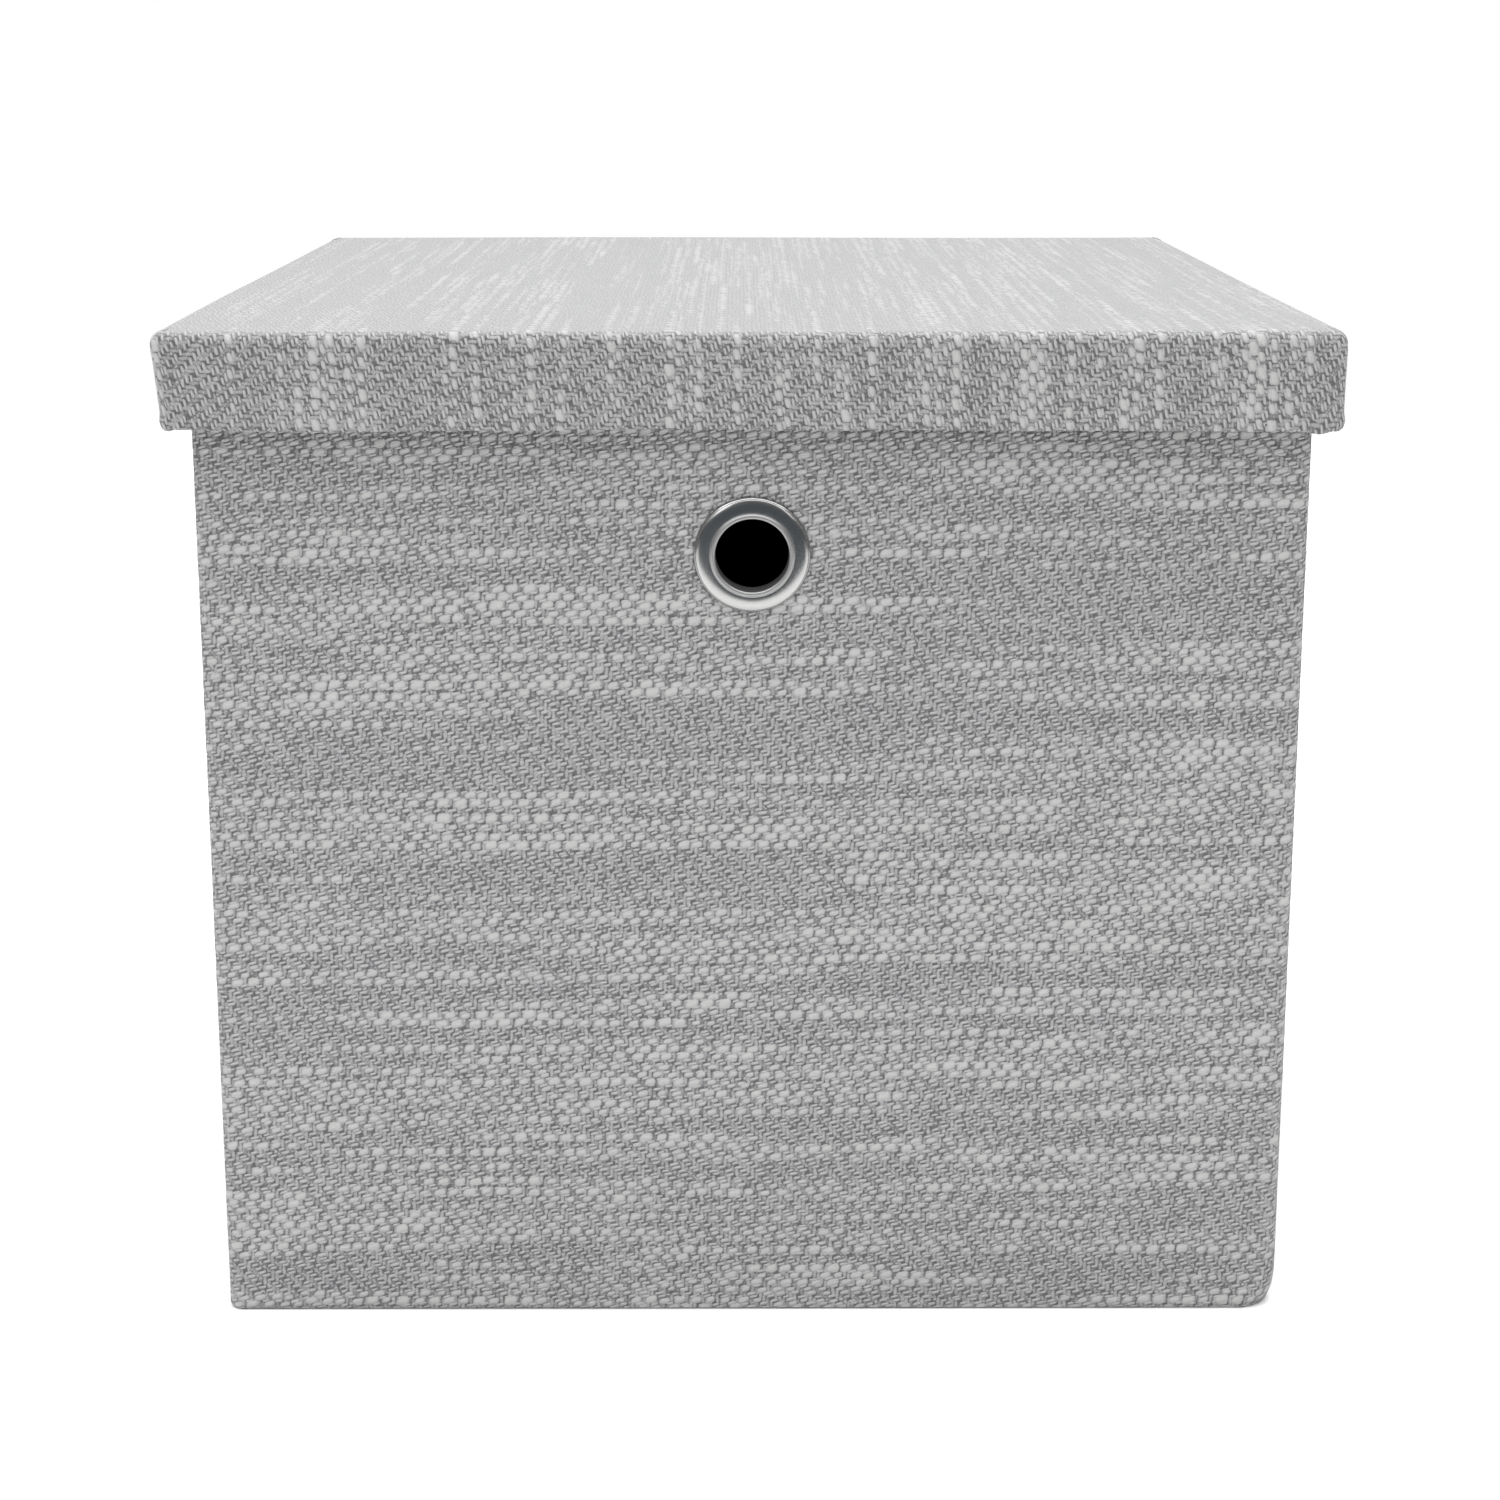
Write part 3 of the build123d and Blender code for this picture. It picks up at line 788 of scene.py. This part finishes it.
def lid_place(along, across):
    """Top with its front and back flaps: along runs front to back, across runs right to left."""
    past = np.abs(along) - MOUTH_Y
    outset, height, out, up = flap_at(np.clip(past, 0, flap))
    on_top = past <= 0
    points = np.zeros((len(across), len(along), 3))
    points[..., 0] = -across[:, None]
    points[..., 1] = np.where(on_top, along, np.sign(along) * (MOUTH_Y + outset))[None]
    points[..., 2] = np.where(on_top, TOP_LEVEL, height)[None]
    normals = np.zeros_like(points)
    normals[..., 1] = np.where(on_top, 0, np.sign(along) * out)[None]
    normals[..., 2] = np.where(on_top, 1, up)[None]
    return settle_lid(points, normals), normals


def side_flap_place(along, across):
    """A side flap, which hangs from the top's left or right edge."""
    outset, height, out, up = flap_at(np.abs(across) - MOUTH_X)
    side = -np.sign(across)
    points = np.zeros((len(across), len(along), 3))
    points[..., 0] = (side * (MOUTH_X + outset))[:, None]
    points[..., 1] = along[None]
    points[..., 2] = height[:, None]
    normals = np.zeros_like(points)
    normals[..., 0] = (side * out)[:, None]
    normals[..., 2] = up[:, None]
    return settle_lid(points, normals), normals


def folded_corner_place(along, across):
    """The end of a front or back flap, folded round the corner and over the side flap."""
    outset, height, out, up = flap_at(np.abs(along) - MOUTH_Y)
    past = np.abs(across) - MOUTH_X
    side, end = -np.sign(across)[:, None], np.sign(along)[None]
    turn = np.clip(past / LID_ARC, 0, 1)[:, None]
    c, s = np.cos(turn * math.pi / 2), np.sin(turn * math.pi / 2)
    flank = np.clip((np.abs(along) - MOUTH_Y - 3) / 6, 0, 1)[None]
    step = turn * turn * (3 - 2 * turn) * (0.12 + FOLD_STEP * flank)
    outset, out = outset[None], out[None]
    beyond = np.clip(past - LID_ARC, 0, None)[:, None]
    points = np.zeros((len(across), len(along), 3))
    points[..., 0] = side * (MOUTH_X + s * (outset + step * out))
    points[..., 1] = end * (MOUTH_Y + c * (outset + step * out) - beyond)
    points[..., 2] = height[None] + step * up[None]
    normals = np.zeros_like(points)
    normals[..., 0] = side * s * out
    normals[..., 1] = end * c * out
    normals[..., 2] = up[None]
    return settle_lid(points, normals), normals


# %% Lid cloth
flap_columns = columns(0, flap, 1.0)
top_columns = columns(-MOUTH_Y, MOUTH_Y, 2.4)
front_flap, back_flap = -MOUTH_Y - flap_columns[::-1], MOUTH_Y + flap_columns
lid_along = np.concatenate([front_flap[:-1], top_columns, back_flap[1:]])
lid_rows = picks_between(-MOUTH_X, MOUTH_X)
left_flap = picks_between(MOUTH_X, MOUTH_X + flap)
left_fold = picks_between(MOUTH_X, MOUTH_X + LID_ARC + OVERLAP)
lid_patches = [(lid_along, lid_rows, lid_place)]
for rows in (left_flap, -left_flap[::-1]):
    lid_patches.append((top_columns, rows, side_flap_place))
for rows in (left_fold, -left_fold[::-1]):
    lid_patches.append((front_flap, rows, folded_corner_place))
    lid_patches.append((back_flap, rows, folded_corner_place))
lid_slubs = slub_yarn(-190, 380, -MOUTH_Y - flap - 2, 2 * (MOUTH_Y + flap) + 4, seed=67, share=0.55)
lid_cloth = woven_piece("lid_cloth", lid_patches, lid_slubs)
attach(lid_cloth, "lid")
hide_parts("lid_fabric")

# %% [markdown]
# ## Eyelet
# The eyelet is pressed from thin sheet brass and nickel plated, which leaves it bright and slightly
# soft in its reflections. Its section is a round lip at the hole, then a rim that falls away in a
# dome to the cloth, with a fine groove near its edge. It could be a torus squeezed flat, but a
# turned profile gives each part its own highlight. The lip is duller, from handling.

# %% Eyelet
TURN_STEPS = 160
BORE_RADIUS = 11.0  # mm, and heights are from the cloth's face
BARREL_END = -5.9
LIP_HEIGHT = 2.2
DOME_START, DOME_TOP = 12.95, 1.75  # mm, radius and height where the dome meets the lip
RIM_RADIUS = 17.4
GROOVE_RADIUS, GROOVE_HALF, GROOVE_DEPTH = 16.75, 0.08, 0.12
MATT_FROM, MATT_TO = 12.3, 12.9  # mm, radii between which the dull lip turns bright

lip_line = RoundedLine(
    [
        (13.2, -5.1),
        (13.0, BARREL_END),
        (BORE_RADIUS, BARREL_END),
        (BORE_RADIUS, LIP_HEIGHT),
        (12.25, LIP_HEIGHT),
        (12.45, 1.72),
        (DOME_START, DOME_TOP),
    ],
    [0.25, 0.5, 0.58, 0.58, 0.2],
)
lip_part, _ = lip_line.at(np.linspace(0, lip_line.length, 110))
dome_radius = np.linspace(DOME_START, RIM_RADIUS - 0.05, 100)
dome_height = DOME_TOP * np.sqrt(1 - ((dome_radius - DOME_START) / (RIM_RADIUS - DOME_START)) ** 2)
dome_height -= GROOVE_DEPTH * np.exp(-(((dome_radius - GROOVE_RADIUS) / GROOVE_HALF) ** 2))
dome_part = np.stack([dome_radius, dome_height], -1)
profile = np.vstack([lip_part[:-1], dome_part, [(RIM_RADIUS, 0.0)]])
angles = np.linspace(0, 2 * math.pi, TURN_STEPS, endpoint=False)
ring = np.zeros((len(profile), TURN_STEPS, 3))
ring[..., 0] = profile[:, :1] * np.cos(angles)
ring[..., 1] = -HALF_DEPTH - profile[:, 1:]
ring[..., 2] = EYELET_HEIGHT + profile[:, :1] * np.sin(angles)
index = np.arange(ring[..., 0].size).reshape(ring.shape[:2])
turned = np.roll(index, -1, axis=1)
ring_quads = np.stack([index[:-1], turned[:-1], turned[1:], index[1:]], -1).reshape(-1, 4)
ring_mesh = bpy.data.meshes.new("eyelet_pressing")
ring_mesh.from_pydata((ring.reshape(-1, 3) * MM).tolist(), [], ring_quads.tolist())
ring_mesh.shade_smooth()
eyelet = bpy.data.objects.new("eyelet_pressing", ring_mesh)
scene.collection.objects.link(eyelet)

# %% Nickel plate
# A metal's colour is its reflection: pale grey, with no diffuse light of its own.
nickel, tree = new_material("nickel_plated_brass")
place = object_mm(tree)
smear = add_node(tree, "ShaderNodeTexNoise", sockets={"Vector": place, "Scale": 0.9, "Detail": 3.0})
roughness = add_node(tree, "ShaderNodeMapRange", sockets={"Value": smear, "To Min": 0.16, "To Max": 0.28})
apart = add_node(tree, "ShaderNodeSeparateXYZ", place).node.outputs
across_axis = add_node(tree, "ShaderNodeCombineXYZ", apart["X"], 0.0, apart["Z"])
from_axis = add_node(
    tree, "ShaderNodeVectorMath", across_axis, (0.0, 0.0, EYELET_HEIGHT), operation="DISTANCE"
).node.outputs["Value"]
matt_lip = add_node(
    tree,
    "ShaderNodeMapRange",
    sockets={
        "Value": from_axis,
        "From Min": MATT_FROM,
        "From Max": MATT_TO,
        "To Min": 0.26,
        "To Max": 0.0,
    },
)
roughness = add_node(tree, MATH, roughness, matt_lip, operation="ADD")
nickel_shader = add_node(
    tree,
    "ShaderNodeBsdfPrincipled",
    sockets={"Base Color": linear("#a8a8a7"), "Metallic": 1.0, "Roughness": roughness},
)
add_node(tree, "ShaderNodeOutputMaterial", nickel_shader)
ring_mesh.materials.append(nickel)
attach(eyelet, "front_wall")
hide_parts("eyelet_face")
print("eyelet", len(ring_quads), "faces")

# %% [markdown]
# ## Lining, board and ribbon
# The inside is lined with black non-woven cloth: felted fibres pressed together in a fine grid of
# dots, with hardly any shine. The board is plain greyboard, which shows only at the lower edges of
# the walls. The loose board's ribbon is ribbed across its width.

# %% Lining
lining_cloth, tree = new_material("black_nonwoven_lining")
place = object_mm(tree)
fibres = add_node(tree, "ShaderNodeTexNoise", sockets={"Vector": place, "Scale": 0.5, "Detail": 6.0})
dots = add_node(tree, "ShaderNodeTexVoronoi", sockets={"Vector": place, "Scale": 0.5, "Randomness": 0.15})
relief = add_node(tree, MATH, fibres, 0.6, dots, operation="MULTIPLY_ADD")
lining_colour = colour_steps(tree, fibres, [(0.36, "#111114"), (0.64, "#2e2e33")])
lining_bump = add_node(
    tree, "ShaderNodeBump", sockets={"Strength": 0.8, "Distance": 0.35 * MM, "Height": relief}
)
lining_shader = add_node(
    tree,
    "ShaderNodeBsdfPrincipled",
    sockets={"Base Color": lining_colour, "Roughness": 0.88, "Sheen Weight": 0.2, "Normal": lining_bump},
)
add_node(tree, "ShaderNodeOutputMaterial", lining_shader)

# %% Board and ribbon
greyboard, tree = new_material("greyboard")
place = object_mm(tree)
flecks = add_node(tree, "ShaderNodeTexNoise", sockets={"Vector": place, "Scale": 0.7, "Detail": 8.0})
board_colour = colour_steps(tree, flecks, [(0.35, "#857d72"), (0.65, "#a39b8f")])
board_shader = add_node(
    tree, "ShaderNodeBsdfPrincipled", sockets={"Base Color": board_colour, "Roughness": 0.9}
)
add_node(tree, "ShaderNodeOutputMaterial", board_shader)

ribbon, tree = new_material("black_ribbed_ribbon")
place = object_mm(tree)
ribs = add_node(
    tree,
    "ShaderNodeTexWave",
    sockets={"Vector": place, "Scale": 0.32, "Distortion": 0.3},
    bands_direction="X",
)
ribbon_bump = add_node(tree, "ShaderNodeBump", sockets={"Distance": 0.15 * MM, "Height": ribs})
ribbon_shader = add_node(
    tree,
    "ShaderNodeBsdfPrincipled",
    sockets={"Base Color": linear("#1b1b1e"), "Roughness": 0.6, "Normal": ribbon_bump},
)
add_node(tree, "ShaderNodeOutputMaterial", ribbon_shader)

finishes = {
    "outer_cloth": slub_twill,
    "lining": lining_cloth,
    "greyboard": greyboard,
    "ribbon": ribbon,
    "eyelet_metal": nickel,
}
for node_name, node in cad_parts.items():
    slot = node.material_slots[0].name.split(".")[0]
    node.material_slots[0].material = finishes[slot]
    print(node_name, "has slot", slot)

# %% [markdown]
# ## Studio
# A plain white floor and a large soft light above, which gives the top about twice the light of the
# front. Two weaker lights stand in front, left and right, and a low reflector lifts the foot of the
# front wall. The lights themselves can't be seen. A grey card in front of the bin, which only shiny
# surfaces see, gives the eyelet its dark band.

# %% Floor
floor_mesh = bpy.data.meshes.new("studio_floor")
reach = 1.7
floor_mesh.from_pydata(
    [(-reach, -reach, 0), (reach, -reach, 0), (reach, reach, 0), (-reach, reach, 0)], [], [(0, 1, 2, 3)]
)
floor = bpy.data.objects.new("studio_floor", floor_mesh)
scene.collection.objects.link(floor)
paper, tree = new_material("matt_white_paper")
paper_shader = add_node(
    tree, "ShaderNodeBsdfPrincipled", sockets={"Base Color": linear("#efefef"), "Roughness": 0.95}
)
add_node(tree, "ShaderNodeOutputMaterial", paper_shader)
floor_mesh.materials.append(paper)


# %% Lights
def soft_light(name, place, aim, size, power):
    """A rectangular area light, its size in metres and power in watts, turned to face a point."""
    light_data = bpy.data.lights.new(name, "AREA")
    light_data.shape = "RECTANGLE"
    light_data.size, light_data.size_y = size
    light_data.energy = power
    light = bpy.data.objects.new(name, light_data)
    light.visible_camera = False
    light.location = place
    light.rotation_euler = (Vector(aim) - Vector(place)).to_track_quat("-Z", "Y").to_euler()
    scene.collection.objects.link(light)
    return light


middle = (0, 0, 0.16)
soft_light("overhead_ceiling", place=(0.0, 0.0, 2.6), aim=(0, 0, 0), size=(4.4, 4.4), power=240.0)
soft_light("front_key", place=(-0.75, -1.05, 1.05), aim=middle, size=(0.7, 0.5), power=2.9)
soft_light("front_fill_right", place=(0.75, -1.0, 0.95), aim=middle, size=(0.25, 0.5), power=1.0)
reflector = soft_light(
    "low_reflector", place=(-0.02, -0.5, 0.01), aim=(0, -0.16, 0.07), size=(0.8, 0.14), power=0.58
)
reflector.visible_glossy = False

# %% Dark card and room
CARD_SIDE, CARD_AWAY, CARD_TOP = 0.5, -0.78, 0.5  # metres

dark_card = bpy.data.meshes.new("dark_card")
card_corners = [
    (-CARD_SIDE, CARD_AWAY, 0.0),
    (CARD_SIDE, CARD_AWAY, 0.0),
    (CARD_SIDE, CARD_AWAY, CARD_TOP),
    (-CARD_SIDE, CARD_AWAY, CARD_TOP),
]
dark_card.from_pydata(card_corners, [], [(0, 1, 2, 3)])
card = bpy.data.objects.new("dark_card", dark_card)
scene.collection.objects.link(card)
card.visible_camera = card.visible_diffuse = card.visible_shadow = False
felt, tree = new_material("dark_grey_felt")
felt_shader = add_node(tree, "ShaderNodeEmission", sockets={"Color": linear("#8a929a"), "Strength": 0.5})
add_node(tree, "ShaderNodeOutputMaterial", felt_shader)
dark_card.materials.append(felt)

world = bpy.data.worlds.new("white_room")
scene.world = world
world.use_nodes = True
world.node_tree.nodes.clear()
tree = world.node_tree
seen = add_node(tree, "ShaderNodeLightPath")
room = add_node(tree, "ShaderNodeMapRange", seen, sockets={"To Min": 0.15, "To Max": 1.0})
background = add_node(tree, "ShaderNodeBackground", sockets={"Color": linear("#ffffff"), "Strength": room})
add_node(tree, "ShaderNodeOutputWorld", background)
scene.view_settings.view_transform = "Standard"
